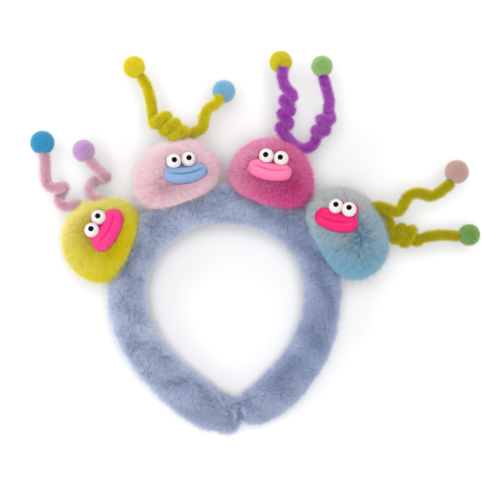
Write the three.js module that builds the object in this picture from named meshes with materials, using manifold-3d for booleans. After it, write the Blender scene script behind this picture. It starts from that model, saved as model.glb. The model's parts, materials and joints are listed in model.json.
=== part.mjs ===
// Pompom headband: a plush head hoop lying on its back, with four plush pompoms along its crown.
// Every pompom has a moulded face (lips on a backing, two eyes, two pupils) and one bent chenille
// stem, whose two ends stand out as feelers with a felt ball on each tip.
// Millimetres, +Z up. The origin is the middle of the head loop, on the surface it lies on.
import * as THREE from "three";
import { mergeVertices } from "three/addons/utils/BufferGeometryUtils.js";
import Module from "manifold-3d";

const wasm = await Module();
wasm.setup();

// Driving dimensions, in millimetres and degrees
const GAP = 0.3; // clearance between pieces that touch
const HOOP_TILT = 5.5; // the thick pompoms lift the hoop's crown off the surface
const HOOP_LIFT = 12.8; // height of the hoop's mid-plane at the middle of the loop
const REACH = 400; // further than any piece reaches, for the blocks that cut pieces flat
const WELD = 1e-4; // corners nearer than this are one corner

// clear is how far the pompoms keep from the band's own form, past the tips of its locks.
const BAND = { sides: 8, stations: 38, lock: 2, uneven: 0.35, lean: 2.6, clear: 1.1 };
// Sections from the left end, over the crown, to the right end. turn and reach place the tube's
// centreline round the middle of the loop; across is its width in the loop's plane, deep its depth.
const BAND_SECTIONS = [
  { turn: 276.2, reach: 67.4, across: 19.5, deep: 16 },
  { turn: 272.5, reach: 66.2, across: 23.5, deep: 19 },
  { turn: 263, reach: 62.8, across: 25.8, deep: 20 },
  { turn: 249, reach: 57.9, across: 27.2, deep: 20.5 },
  { turn: 233, reach: 54.5, across: 26.8, deep: 20.5 },
  { turn: 216, reach: 54.4, across: 25.6, deep: 20.5 },
  { turn: 198, reach: 56.3, across: 24.4, deep: 20.5 },
  { turn: 180, reach: 59.2, across: 23.6, deep: 20.5 },
  { turn: 160, reach: 61.8, across: 23.2, deep: 20.5 },
  { turn: 136, reach: 64.1, across: 23.8, deep: 20.5 },
  { turn: 113, reach: 64.5, across: 23.6, deep: 20.5 },
  { turn: 90, reach: 64.6, across: 23.4, deep: 20.5 },
  { turn: 66, reach: 64.5, across: 23, deep: 20.5 },
  { turn: 42, reach: 65.0, across: 22.6, deep: 20.5 },
  { turn: 22, reach: 61.8, across: 22.2, deep: 20.5 },
  { turn: 2, reach: 58.6, across: 22, deep: 20.5 },
  { turn: -18, reach: 57.3, across: 24, deep: 20.5 },
  { turn: -38, reach: 56.9, across: 25, deep: 20.5 },
  { turn: -56, reach: 59.2, across: 26.2, deep: 20.5 },
  { turn: -69, reach: 62.1, across: 24, deep: 20 },
  { turn: -77, reach: 63.3, across: 19.5, deep: 18.5 },
  { turn: -80.6, reach: 63.8, across: 15, deep: 15.5 },
];

// inset is the share of a lock's height by which the head under the locks is drawn in.
const FUR = { detail: 3, lock: 3.6, uneven: 0.25, lean: 1.9, inset: 0.85, squash: 2.2 };
// Pompoms from the left. x, y and forward place the middle in the hoop's plane and in front of it;
// outward is the way the dome points; top and base are its reach from the middle along that way.
const POMPOMS = [
  { x: -70.7, y: 42.2, forward: 3.5, outward: 158, across: 51.5, top: 27.3, base: 14.5, deep: 49 },
  { x: -27.4, y: 76.8, forward: 0, outward: 110, across: 54, top: 26, base: 11.5, deep: 49 },
  { x: 26.4, y: 75, forward: 0.5, outward: 76.5, across: 52.8, top: 28.5, base: 10, deep: 49 },
  { x: 73.7, y: 47.6, forward: 5.3, outward: 32, across: 58, top: 21.2, base: 19, deep: 53 },
];

const FACE_SINK = 4.4; // how deep a face sits in the pile
// outline, swell and plumpness are the powers that round the lips' outline, length and section.
const LIPS = {
  rise: 5.4, bow: 1.1, groove: 0.9, grooveReach: 0.74,
  stations: 9, end: 0.985, outline: 3, swell: 4, plumpness: 2.6,
};
const LIP_PROFILE = [1, 0.82, 0.2, 0, -0.2, -0.82, -1]; // shares of the half height
const BACKING = { thick: 1.2, rim: 0.6, sides: 10 };
const EYE = { radius: 4.3, sides: 8, rows: 5, rise: 2.6, apart: 8.6 };
const PUPIL = { radius: 1.6, thick: 0.7, sides: 8 };
// Faces in the same order. x and y place the middle of the lips, roll turns them in the hoop's
// plane; eyesUp and eyesAlong place the pair of eyes from the middle of the lips, and lookUp and
// lookAlong turn them.
const FACES = [
  {
    x: -67.2, y: 51, roll: 64, wide: 27.4, high: 12.4,
    eyesUp: 8.1, eyesAlong: -0.5, lookUp: 5, lookAlong: -7,
  },
  {
    x: -21.7, y: 83.4, roll: 10.5, wide: 26.2, high: 10,
    eyesUp: 7.9, eyesAlong: -1.8, lookUp: -1, lookAlong: -4,
  },
  {
    x: 26.4, y: 85.5, roll: -11.3, wide: 25.8, high: 10.6,
    eyesUp: 7.7, eyesAlong: 1, lookUp: -9, lookAlong: -5.5,
  },
  {
    x: 63.1, y: 56.2, roll: -14, wide: 28, high: 11.6,
    eyesUp: 8.2, eyesAlong: 3.7, lookUp: 14.5, lookAlong: 19.5,
  },
];

const STEM = { radius: 3, sides: 6, step: 4, pointsPerTurn: 8 };
// Stems in the same order, in the hoop's frame, each from its first tip to its second. A row is a
// point on the wire's line, or a coil: the two ends of its axis, its radius, its turns (negative
// turns wind the other way) and phase, the angle it starts at from the axis's left. slant draws a
// coil's turns together on the axis's left, lean pushes them along the axis there.
const STEMS = [
  {
    tips: [
      { x: -108.4, y: 100.6, z: 4, radius: 6.9 },
      { x: -83.9, y: 95.8, z: 4, radius: 6.4 },
    ],
    line: [
      { x: -108.2, y: 95.4, z: 4 },
      { x: -106.6, y: 90, z: 4 },
      { x: -107.2, y: 82.5, z: 4 },
      {
        from: { x: -102.6, y: 77, z: 3 }, to: { x: -90.4, y: 59.6, z: 2 },
        radius: 4.2, turns: -1.6, phase: 150, slant: 0.4, lean: 0,
      },
      { x: -87, y: 56, z: -3 },
      { x: -80.5, y: 54.5, z: -5 },
      { x: -75.5, y: 59, z: -4 },
      {
        from: { x: -76.4, y: 66, z: 0 }, to: { x: -75.4, y: 80.4, z: 4 },
        radius: 5.4, turns: -1, phase: 170, slant: -0.2, lean: 0,
      },
      { x: -78.6, y: 88, z: 4 },
      { x: -81.8, y: 91.8, z: 4 },
    ],
  },
  {
    tips: [
      { x: -53.6, y: 145.2, z: 2.5, radius: 6.3 },
      { x: -0.6, y: 131.1, z: -1.5, radius: 6.5 },
    ],
    line: [
      { x: -50.2, y: 140.6, z: 2.5 },
      { x: -46.3, y: 134.2, z: 2.5 },
      { x: -44.5, y: 128, z: 2.5 },
      { x: -43.5, y: 121, z: 0.5 },
      {
        from: { x: -40, y: 115.4, z: 1.5 }, to: { x: -26, y: 104.8, z: 1.5 },
        radius: 4.6, turns: -2.6, phase: 200, slant: 0, lean: 0,
      },
      { x: -28.6, y: 98, z: -0.5 },
      { x: -28.4, y: 93, z: -4.5 },
      { x: -24, y: 92.8, z: -9.5 },
      { x: -21.6, y: 98.6, z: -11.5 },
      { x: -22.2, y: 104, z: -8.5 },
      { x: -17.2, y: 107.6, z: -4.5 },
      { x: -13, y: 109.4, z: -0.5 },
      { x: -12.4, y: 114, z: 1.5 },
      { x: -12, y: 118.6, z: 2.5 },
      { x: -8, y: 122.2, z: 2.5 },
      { x: -3.8, y: 124, z: 3.5 },
      { x: -3.2, y: 128.6, z: 3.5 },
    ],
  },
  {
    tips: [
      { x: 33.3, y: 148.2, z: 0.5, radius: 6.4 },
      { x: 57.6, y: 145.6, z: 2.5, radius: 6 },
    ],
    line: [
      { x: 34.2, y: 145.4, z: 4.5 },
      { x: 34.2, y: 138.4, z: 3.5 },
      {
        from: { x: 38.4, y: 132.6, z: 2.5 }, to: { x: 35, y: 107.6, z: 0.5 },
        radius: 3.3, turns: -3.1, phase: 170, slant: -0.15, lean: 0.25,
      },
      { x: 39.6, y: 101, z: -2.5 },
      { x: 43.4, y: 97.6, z: -3.5 },
      { x: 47.8, y: 96.6, z: -3.5 },
      { x: 52.4, y: 98.6, z: -2.5 },
      {
        from: { x: 55.8, y: 105, z: 0.5 }, to: { x: 61.4, y: 118, z: 1.5 },
        radius: 3.4, turns: 2, phase: -80, slant: 0.3, lean: 0.3,
      },
      { x: 62.4, y: 124.4, z: 2.5 },
      { x: 60.8, y: 131, z: 2.5 },
      { x: 59, y: 137, z: 2.5 },
      { x: 58, y: 141, z: 2.5 },
    ],
  },
  {
    tips: [
      { x: 137.9, y: 83.4, z: 6, radius: 6.8 },
      { x: 145.8, y: 45.8, z: 6, radius: 6.2 },
    ],
    line: [
      { x: 135.4, y: 77.4, z: 7 },
      { x: 131.6, y: 74.5, z: 7 },
      { x: 127.2, y: 71, z: 7 },
      { x: 123.4, y: 68.2, z: 7 },
      { x: 119.2, y: 70, z: 7 },
      { x: 113, y: 71, z: 7 },
      { x: 108, y: 68.2, z: 7 },
      { x: 105.8, y: 63, z: 9 },
      { x: 102.4, y: 59.6, z: 12 },
      { x: 97, y: 61.4, z: 14 },
      { x: 91.4, y: 63.2, z: 13 },
      { x: 87.4, y: 61.4, z: 8 },
      { x: 90.6, y: 57, z: 5 },
      { x: 96.4, y: 56.6, z: 8.5 },
      { x: 98.4, y: 50.6, z: 9.5 },
      {
        from: { x: 101.6, y: 46.2, z: 6 }, to: { x: 113.4, y: 44.2, z: 6 },
        radius: 4.6, turns: -1.95, phase: 190, slant: 0, lean: 0,
      },
      { x: 118.4, y: 44.3, z: 6 },
      { x: 124.2, y: 45.1, z: 6 },
      { x: 131.4, y: 45.8, z: 6 },
      { x: 137, y: 45.2, z: 6 },
      { x: 140.2, y: 44.6, z: 6 },
    ],
  },
];
const TIP_DETAIL = 1;

const PLUSH = { roughness: 0.95, metalness: 0 };
const MOULDED = { roughness: 0.35, metalness: 0 };
const BAND_COLOUR = 0x97a5c8;
const EYE_COLOUR = 0xf0ece8;
const PUPIL_COLOUR = 0x120c0c;
// One row for each pompom, its face and its stem, in the same order
const COLOURS = [
  { plush: 0xd3c84e, lips: 0xff3f92, stem: 0xcd8cab, tips: [0x3b98cb, 0xbe97c4] },
  { plush: 0xdbb4bf, lips: 0x8fb0e0, stem: 0xc0b11f, tips: [0xd4c420, 0x75aaca] },
  { plush: 0xcd4f8f, lips: 0xff9cc2, stem: 0x9339a2, tips: [0xd0c01e, 0x8cb26e] },
  { plush: 0x8fb2c6, lips: 0xfd3580, stem: 0xa89a1a, tips: [0xbe9b94, 0x6e9650] },
];

const rad = THREE.MathUtils.degToRad;
const vector = ({ x, y, z = 0 }) => new THREE.Vector3(x, y, z);

// An even spread of numbers from -1 to 1, the same on every run.
const scatter = (seed) => 2 * THREE.MathUtils.seededRandom(seed) - 1;

// Blocks that fill a frame below and above a level of its z axis.
const blockBelow = (level) => new THREE.BoxGeometry(REACH, REACH, REACH).translate(0, 0, level - REACH / 2);
const blockAbove = (level) => blockBelow(level + REACH);

// A closed geometry as a solid that can be joined and cut, moved from one object's frame to another's.
function solidOf(geometry, from, to) {
  const bare = geometry.clone();
  bare.deleteAttribute("normal");
  bare.deleteAttribute("uv");
  if (from !== to) {
    bare.applyMatrix4(to.matrixWorld.clone().invert().multiply(from.matrixWorld));
  }
  const merged = mergeVertices(bare, WELD);
  return new wasm.Manifold(
    new wasm.Mesh({
      numProp: 3,
      vertProperties: merged.attributes.position.array,
      triVerts: new Uint32Array(merged.index.array),
    }),
  );
}

// The largest body of a solid, without the crumbs that a cut leaves, as a geometry.
function geometryOf(solid) {
  const bodies = solid.decompose().sort((a, b) => b.volume() - a.volume());
  const { vertProperties, triVerts } = bodies[0].getMesh();
  const geometry = new THREE.BufferGeometry();
  geometry.setAttribute("position", new THREE.BufferAttribute(vertProperties, 3));
  geometry.setIndex(new THREE.BufferAttribute(triVerts, 1));
  geometry.computeVertexNormals();
  return geometry;
}

function geometryFrom(points) {
  const geometry = new THREE.BufferGeometry().setFromPoints(points);
  geometry.computeVertexNormals();
  return geometry;
}

// A skin through rings of points that run anticlockwise round the way they are stacked, closed at
// both ends. Where tipOf is given, every panel is raised to a point there.
function loft(rings, tipOf) {
  const points = [];
  const sides = rings[0].length;
  for (let i = 0; i + 1 < rings.length; i++) {
    for (let j = 0; j < sides; j++) {
      const k = (j + 1) % sides;
      const panel = [rings[i][j], rings[i][k], rings[i + 1][k], rings[i + 1][j]];
      if (tipOf) {
        const tip = tipOf(panel, i, j);
        panel.forEach((corner, n) => points.push(corner, panel[(n + 1) % 4], tip));
      } else {
        points.push(panel[0], panel[1], panel[2], panel[0], panel[2], panel[3]);
      }
    }
  }
  const [first, last] = [rings[0], rings[rings.length - 1]];
  for (let j = 1; j + 1 < sides; j++) {
    points.push(first[0], first[j + 1], first[j], last[0], last[j], last[j + 1]);
  }
  return geometryFrom(points);
}

// The band's rings, drawn in by the height of its locks, or grown past them by a clearance.
function bandRings(grow) {
  const centres = BAND_SECTIONS.map(({ turn, reach }) =>
    new THREE.Vector3(Math.cos(rad(turn)), Math.sin(rad(turn)), 0).multiplyScalar(reach),
  );
  const line = new THREE.CatmullRomCurve3(centres);
  const sizes = new THREE.CatmullRomCurve3(
    BAND_SECTIONS.map(({ across, deep }) => new THREE.Vector3(across / 2, deep / 2, 0)),
  );
  return Array.from({ length: BAND.stations + 1 }, (_, i) => {
    const share = i / BAND.stations;
    const centre = line.getPoint(share);
    const along = line.getTangent(share);
    const outward = new THREE.Vector3(-along.y, along.x, 0);
    const { x: halfWide, y: halfDeep } = sizes.getPoint(share);
    return Array.from({ length: BAND.sides }, (__, j) => {
      const angle = (2 * Math.PI * (j + 0.5)) / BAND.sides;
      return centre
        .clone()
        .addScaledVector(outward, Math.cos(angle) * (halfWide + grow))
        .add(new THREE.Vector3(0, 0, Math.sin(angle) * (halfDeep + grow)));
    });
  });
}

// The band's plush: each panel is a lock of pile that leans along the tube, now one way, now the other.
function bandGeometry() {
  return loft(bandRings(-BAND.lock), ([a, b, c, d], i, j) => {
    const middle = a.clone().add(b).add(c).add(d).divideScalar(4);
    const out = c.clone().sub(a).cross(d.clone().sub(b)).normalize();
    const along = d.clone().sub(a).normalize();
    const seed = 2 * (i * BAND.sides + j);
    return middle
      .addScaledVector(out, BAND.lock * (1 + BAND.uneven * scatter(seed)))
      .addScaledVector(along, BAND.lean * scatter(seed + 1));
  });
}

// A dome with a flattened base, drawn in or grown all round.
function domeGeometry({ across, top, base, deep }, grow) {
  const geometry = new THREE.IcosahedronGeometry(1, FUR.detail);
  const places = geometry.getAttribute("position");
  for (let n = 0; n < places.count; n++) {
    const { x, y, z } = new THREE.Vector3().fromBufferAttribute(places, n);
    const low = Math.tanh(FUR.squash * y) / Math.tanh(FUR.squash);
    const height = y > 0 ? y * (top + grow) : low * (base + grow);
    places.setXYZ(n, x * (across / 2 + grow), height, z * (deep / 2 + grow));
  }
  return geometry;
}

// A plush dome: every facet of its head carries one three-sided lock of pile.
function furGeometry(row) {
  const places = domeGeometry(row, -FUR.lock * FUR.inset).getAttribute("position");
  const points = [];
  for (let n = 0; n < places.count; n += 3) {
    const corners = [0, 1, 2].map((k) => new THREE.Vector3().fromBufferAttribute(places, n + k));
    const middle = corners[0].clone().add(corners[1]).add(corners[2]).divideScalar(3);
    const aside = corners[1].clone().sub(corners[0]).normalize();
    const out = aside.clone().cross(corners[2].clone().sub(corners[0])).normalize();
    const tip = middle
      .addScaledVector(out, FUR.lock * (1 + FUR.uneven * scatter(n)))
      .addScaledVector(aside, FUR.lean * scatter(n + 1))
      .addScaledVector(out.cross(aside), FUR.lean * scatter(n + 2));
    corners.forEach((corner, k) => points.push(corner, corners[(k + 1) % 3], tip));
  }
  return geometryFrom(points);
}

// The line of a stem: its own points, with each coil worked out round its axis.
function stemCurve(line) {
  const points = line.flatMap((row) => {
    if (!row.from) {
      return [vector(row)];
    }
    const [start, end] = [vector(row.from), vector(row.to)];
    const axis = end.clone().sub(start);
    const left = new THREE.Vector3(-axis.y, axis.x, 0).normalize();
    const front = axis.clone().normalize().cross(left);
    const steps = Math.ceil(Math.abs(row.turns) * STEM.pointsPerTurn);
    return Array.from({ length: steps + 1 }, (_, n) => {
      const angle = rad(row.phase) + (2 * Math.PI * row.turns * n) / steps;
      const shift = row.lean * Math.cos(angle) - Math.sign(row.turns) * row.slant * Math.sin(angle);
      return start
        .clone()
        .addScaledVector(axis, n / steps + (row.radius * shift) / axis.length())
        .addScaledVector(left, row.radius * Math.cos(angle))
        .addScaledVector(front, row.radius * Math.sin(angle));
    });
  });
  return new THREE.CatmullRomCurve3(points);
}

function stemGeometry(line, grow) {
  const curve = stemCurve(line);
  const section = Array.from({ length: STEM.sides }, (_, n) => {
    const angle = (2 * Math.PI * n) / STEM.sides;
    return new THREE.Vector2(Math.cos(angle), Math.sin(angle)).multiplyScalar(STEM.radius + grow);
  });
  return new THREE.ExtrudeGeometry(new THREE.Shape(section), {
    extrudePath: curve,
    steps: Math.round(curve.getLength() / STEM.step),
    bevelEnabled: false,
  });
}

// Two plump lips with the mouth's groove between them, flat at the back.
function lipsGeometry({ wide, high }, grow) {
  const rings = Array.from({ length: LIPS.stations }, (_, n) => {
    const share = LIPS.end * Math.sin((Math.PI / 2) * ((2 * n) / (LIPS.stations - 1) - 1));
    const half = (high / 2) * (1 - Math.abs(share) ** LIPS.outline) ** (1 / LIPS.outline) + grow;
    const swell = Math.sqrt(1 - share ** LIPS.swell);
    const groove = grow ? 0 : LIPS.groove * Math.max(0, 1 - (share / LIPS.grooveReach) ** 2);
    return LIP_PROFILE.map((level) => {
      const rise = LIPS.rise * swell * Math.sqrt(1 - Math.abs(level) ** LIPS.plumpness);
      const cut = level === 0 ? Math.min(groove, rise) : 0;
      return new THREE.Vector3(
        share * (wide / 2 + grow),
        LIPS.bow * (2 * share ** 2 - 1) + half * level,
        rise - cut + (Math.abs(level) < 1 ? grow : 0),
      );
    });
  });
  return loft(rings).translate(0, 0, GAP);
}

function roundGeometry(radius, thick, sides) {
  return new THREE.CylinderGeometry(radius, radius, thick, sides).rotateX(Math.PI / 2);
}

// A ball that is flat where its pupil sits.
function eyeGeometry() {
  const seat = PUPIL.radius + GAP;
  const from = -Math.PI / 2;
  const to = Math.acos(seat / EYE.radius);
  const profile = Array.from({ length: EYE.rows }, (_, n) => {
    const angle = from + ((to - from) * n) / (EYE.rows - 1);
    return new THREE.Vector2(n ? EYE.radius * Math.cos(angle) : 0, EYE.radius * Math.sin(angle));
  });
  profile.push(new THREE.Vector2(0, profile[EYE.rows - 1].y));
  return new THREE.LatheGeometry(profile, EYE.sides).rotateX(Math.PI / 2);
}

function pupilGeometry() {
  const seat = Math.sqrt(EYE.radius ** 2 - (PUPIL.radius + GAP) ** 2);
  return roundGeometry(PUPIL.radius, PUPIL.thick, PUPIL.sides).translate(0, 0, seat + GAP + PUPIL.thick / 2);
}

function addMesh(parent, name, geometry, colour, finish) {
  const mesh = new THREE.Mesh(geometry, new THREE.MeshStandardMaterial({ color: colour, ...finish }));
  mesh.name = name;
  parent.add(mesh);
}

// Frames: the tilted hoop, a frame for each pompom with +Y outward, and one for each face
const headband = new THREE.Group();
const hoop = new THREE.Group();
hoop.position.z = HOOP_LIFT;
hoop.rotation.x = rad(HOOP_TILT);
headband.add(hoop);

function pompomFrame({ x, y, forward, outward }) {
  const frame = new THREE.Group();
  frame.position.set(x, y, forward);
  frame.rotation.z = rad(outward - 90);
  hoop.add(frame);
  return frame;
}

// A face stands square on the pompom's skin, sunk into its pile.
function faceFrame(pompom, { outward, across, top, base, deep, x, y }, face) {
  const offset = new THREE.Vector3(face.x - x, face.y - y, 0).applyAxisAngle(
    new THREE.Vector3(0, 0, 1),
    -rad(outward - 90),
  );
  const [wide, high, thick] = [across / 2, offset.y > 0 ? top : base, deep / 2];
  const lift = Math.sqrt(1 - (offset.x / wide) ** 2 - (offset.y / high) ** 2);
  const out = new THREE.Vector3(offset.x / wide ** 2, offset.y / high ** 2, lift / thick).normalize();
  const turn = rad(face.roll - (outward - 90));
  const up = out.clone().cross(new THREE.Vector3(Math.cos(turn), Math.sin(turn), 0)).normalize();
  const frame = new THREE.Group();
  frame.position.set(offset.x, offset.y, lift * thick).addScaledVector(out, -FACE_SINK);
  frame.quaternion.setFromRotationMatrix(new THREE.Matrix4().makeBasis(up.clone().cross(out), up, out));
  pompom.add(frame);
  return frame;
}

const pompomFrames = POMPOMS.map(pompomFrame);
const faceFrames = FACES.map((face, n) => faceFrame(pompomFrames[n], POMPOMS[n], face));
headband.updateMatrixWorld(true);

// Cutting shapes that several pieces share
const floor = blockBelow(0);
const bandClearance = loft(bandRings(BAND.clear));

const band = solidOf(bandGeometry(), hoop, hoop).subtract(solidOf(floor, headband, hoop));
addMesh(hoop, "band", geometryOf(band), BAND_COLOUR, PLUSH);

// A pompom is cut to sit on the band and the floor, beside its neighbour, round its stem, under its face.
function addPompom(row, n) {
  const frame = pompomFrames[n];
  let plush = solidOf(furGeometry(row), frame, frame)
    .subtract(solidOf(bandClearance, hoop, frame))
    .subtract(solidOf(floor, headband, frame))
    .subtract(solidOf(stemGeometry(STEMS[n].line, GAP), hoop, frame))
    .subtract(solidOf(blockAbove(0), faceFrames[n], frame));
  if (n + 1 < POMPOMS.length) {
    plush = plush.subtract(solidOf(domeGeometry(POMPOMS[n + 1], 2 * GAP), pompomFrames[n + 1], frame));
  }
  addMesh(frame, `pompom_${n + 1}`, geometryOf(plush), COLOURS[n].plush, PLUSH);
}

function addFace(row, n) {
  const frame = faceFrames[n];
  const sides = { left: row.eyesAlong - EYE.apart / 2, right: row.eyesAlong + EYE.apart / 2 };
  const look = new THREE.Euler(-rad(row.lookUp), rad(row.lookAlong), 0);
  const backingTop = GAP + BACKING.thick;
  const belowEyes = solidOf(blockBelow(backingTop + GAP), frame, frame);
  const lipsClearance = solidOf(lipsGeometry(row, GAP), frame, frame);
  let lips = solidOf(lipsGeometry(row, 0), frame, frame);
  for (const [side, x] of Object.entries(sides)) {
    const backing = roundGeometry(EYE.radius + BACKING.rim, BACKING.thick, BACKING.sides);
    lips = lips.add(solidOf(backing.translate(x, row.eyesUp, GAP + BACKING.thick / 2), frame, frame));
    const place = new THREE.Matrix4()
      .makeTranslation(x, row.eyesUp, backingTop + EYE.rise)
      .multiply(new THREE.Matrix4().makeRotationFromEuler(look));
    const eye = solidOf(eyeGeometry().applyMatrix4(place), frame, frame)
      .subtract(belowEyes)
      .subtract(lipsClearance);
    addMesh(frame, `eye_${n + 1}_${side}`, geometryOf(eye), EYE_COLOUR, MOULDED);
    const pupil = pupilGeometry().applyMatrix4(place);
    addMesh(frame, `pupil_${n + 1}_${side}`, pupil, PUPIL_COLOUR, MOULDED);
  }
  addMesh(frame, `lips_${n + 1}`, geometryOf(lips), COLOURS[n].lips, MOULDED);
}

function addStem({ line, tips }, n) {
  addMesh(hoop, `feeler_${n + 1}`, stemGeometry(line, 0), COLOURS[n].stem, PLUSH);
  const clearance = solidOf(stemGeometry(line, GAP), hoop, hoop);
  tips.forEach((tip, k) => {
    const ball = new THREE.IcosahedronGeometry(tip.radius, TIP_DETAIL).translate(tip.x, tip.y, tip.z);
    const felt = solidOf(ball, hoop, hoop).subtract(clearance);
    const name = `tip_${n + 1}_${["left", "right"][k]}`;
    addMesh(hoop, name, geometryOf(felt), COLOURS[n].tips[k], PLUSH);
  });
}

POMPOMS.forEach(addPompom);
FACES.forEach(addFace);
STEMS.forEach(addStem);

export default headband;
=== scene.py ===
"""Looks of the pompom headband.

Plush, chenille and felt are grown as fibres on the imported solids, the faces are moulded anew on
their seats, and a floor, lamps and a camera are set round the part.
"""

from __future__ import annotations

import json
import logging
import math
from dataclasses import dataclass, field, replace
from enum import Enum
from typing import Any, ClassVar

import bmesh
import bpy
import numpy as np
from mathutils import Matrix, Vector
from mathutils.bvhtree import BVHTree
from mathutils.kdtree import KDTree

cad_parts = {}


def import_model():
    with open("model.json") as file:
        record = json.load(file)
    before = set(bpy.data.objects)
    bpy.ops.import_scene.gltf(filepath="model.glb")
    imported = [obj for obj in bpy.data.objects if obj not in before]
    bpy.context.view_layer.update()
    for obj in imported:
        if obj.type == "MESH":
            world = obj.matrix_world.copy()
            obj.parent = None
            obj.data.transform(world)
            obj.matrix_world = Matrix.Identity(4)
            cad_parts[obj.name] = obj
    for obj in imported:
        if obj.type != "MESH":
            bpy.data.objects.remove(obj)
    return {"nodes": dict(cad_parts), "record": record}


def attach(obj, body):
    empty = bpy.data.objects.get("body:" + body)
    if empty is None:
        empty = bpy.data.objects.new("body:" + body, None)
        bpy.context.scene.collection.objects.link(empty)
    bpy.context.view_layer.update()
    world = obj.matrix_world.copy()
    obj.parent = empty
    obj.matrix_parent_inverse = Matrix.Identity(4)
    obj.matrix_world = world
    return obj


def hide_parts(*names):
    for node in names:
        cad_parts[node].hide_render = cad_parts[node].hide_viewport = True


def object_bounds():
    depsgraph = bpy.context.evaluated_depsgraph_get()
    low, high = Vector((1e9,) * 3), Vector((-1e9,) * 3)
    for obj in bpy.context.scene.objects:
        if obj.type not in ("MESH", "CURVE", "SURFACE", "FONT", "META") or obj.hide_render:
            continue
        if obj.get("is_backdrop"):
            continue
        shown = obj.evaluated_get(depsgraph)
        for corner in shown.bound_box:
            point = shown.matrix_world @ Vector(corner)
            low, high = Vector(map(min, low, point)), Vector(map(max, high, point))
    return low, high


LOG = logging.getLogger("headband")
MM = 0.001
WELD = 0.01 * MM
BAKE_MAP = "OFBake"
UP = np.array([0.0, 0.0, 1.0])

Colour = tuple[float, float, float, float]
Setting = float | tuple[float, ...] | str


def linear(code: str) -> Colour:
    """Turns a colour written as six hex digits into linear light.

    Args:
        code: Red, green and blue as two hex digits each.

    Returns:
        Red, green, blue and a full alpha.
    """
    shares = [int(code[at : at + 2], 16) / 255 for at in (0, 2, 4)]
    light = [s / 12.92 if s <= 0.04045 else ((s + 0.055) / 1.055) ** 2.4 for s in shares]
    return (light[0], light[1], light[2], 1.0)


def unit(rows: np.ndarray) -> np.ndarray:
    """Scales each row to a length of one.

    Args:
        rows: Vectors, one a row.

    Returns:
        The same directions, one a row.
    """
    return rows / np.maximum(np.linalg.norm(rows, axis=-1, keepdims=True), 1e-12)


class Side(Enum):
    """The two sides of a face or of a stem, as they are seen."""

    LEFT = "left"
    RIGHT = "right"


class Wire:
    """A node's output that takes part in sums and products."""

    def __init__(self, paint: Paint, socket: bpy.types.NodeSocket) -> None:
        """Keeps the output and the material that it belongs to."""
        self.paint = paint
        self.socket = socket

    def _maths(self, operation: str, first: Wire | float, second: Wire | float) -> Wire:
        """Adds one Math node for two values."""
        return self.paint.node("ShaderNodeMath", {"operation": operation}, {0: first, 1: second})

    def __add__(self, other: Wire | float) -> Wire:
        """Adds a value."""
        return self._maths("ADD", self, other)

    def __radd__(self, other: float) -> Wire:
        """Is added to a number."""
        return self._maths("ADD", other, self)

    def __rsub__(self, other: float) -> Wire:
        """Is taken away from a number."""
        return self._maths("SUBTRACT", other, self)

    def __rmul__(self, other: float) -> Wire:
        """Multiplies a number."""
        return self._maths("MULTIPLY", other, self)


class Paint:
    """A material in the making, with one Principled shader."""

    def __init__(self, name: str) -> None:
        """Starts a material.

        Args:
            name: The material's name.
        """
        self.material = bpy.data.materials.new(name)
        self.material.use_nodes = True
        self.tree = self.material.node_tree
        self.shader = self.tree.nodes["Principled BSDF"]

    def node(
        self,
        kind: str,
        settings: dict[str, Any],
        sockets: dict[str | int, Any],
        output: str | int = 0,
    ) -> Wire:
        """Adds a node of any kind.

        Args:
            kind: The node's type.
            settings: Its settings, set first.
            sockets: The values or wires of its inputs, by name or number.
            output: The name or number of the output that is wanted.

        Returns:
            That output.
        """
        made = self.tree.nodes.new(kind)
        for name, value in settings.items():
            setattr(made, name, value)
        for key, value in sockets.items():
            self.feed(made.inputs[key], value)
        return Wire(self, made.outputs[output])

    def feed(self, socket: bpy.types.NodeSocket, value: Wire | Setting) -> None:
        """Links a wire to a socket, or sets the socket's own value.

        Args:
            socket: An input of a node.
            value: What it takes.
        """
        if isinstance(value, Wire):
            self.tree.links.new(value.socket, socket)
        else:
            socket.default_value = value

    def attribute(self, name: str) -> Wire:
        """Reads one of the piece's own values."""
        return self.node("ShaderNodeAttribute", {"attribute_name": name}, {}, "Fac")

    def noise(self, scale: float, detail: float) -> Wire:
        """Adds a noise that stands still on the piece, from 0 to 1.

        Args:
            scale: Its waves in a metre.
            detail: How many finer waves it has.

        Returns:
            The noise.
        """
        place = self.node("ShaderNodeTexCoord", {}, {}, "Object")
        sockets = {"Vector": place, "Scale": scale, "Detail": detail}
        return self.node("ShaderNodeTexNoise", {}, sockets, "Fac")

    def mix(self, share: Wire, first: Wire | Colour, second: Wire | Colour) -> Wire:
        """Blends two colours.

        Args:
            share: How much of the second colour there is.
            first: The first colour.
            second: The second colour.

        Returns:
            The blend.
        """
        return self.node("ShaderNodeMix", {"data_type": "RGBA"}, {0: share, 6: first, 7: second}, 2)

    def surface(self, sockets: dict[str, Any]) -> bpy.types.Material:
        """Feeds the shader and hands over the finished material.

        Args:
            sockets: The values or wires of the shader's inputs, by name.

        Returns:
            The material.
        """
        for name, value in sockets.items():
            self.feed(self.shader.inputs[name], value)
        return self.material


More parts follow.
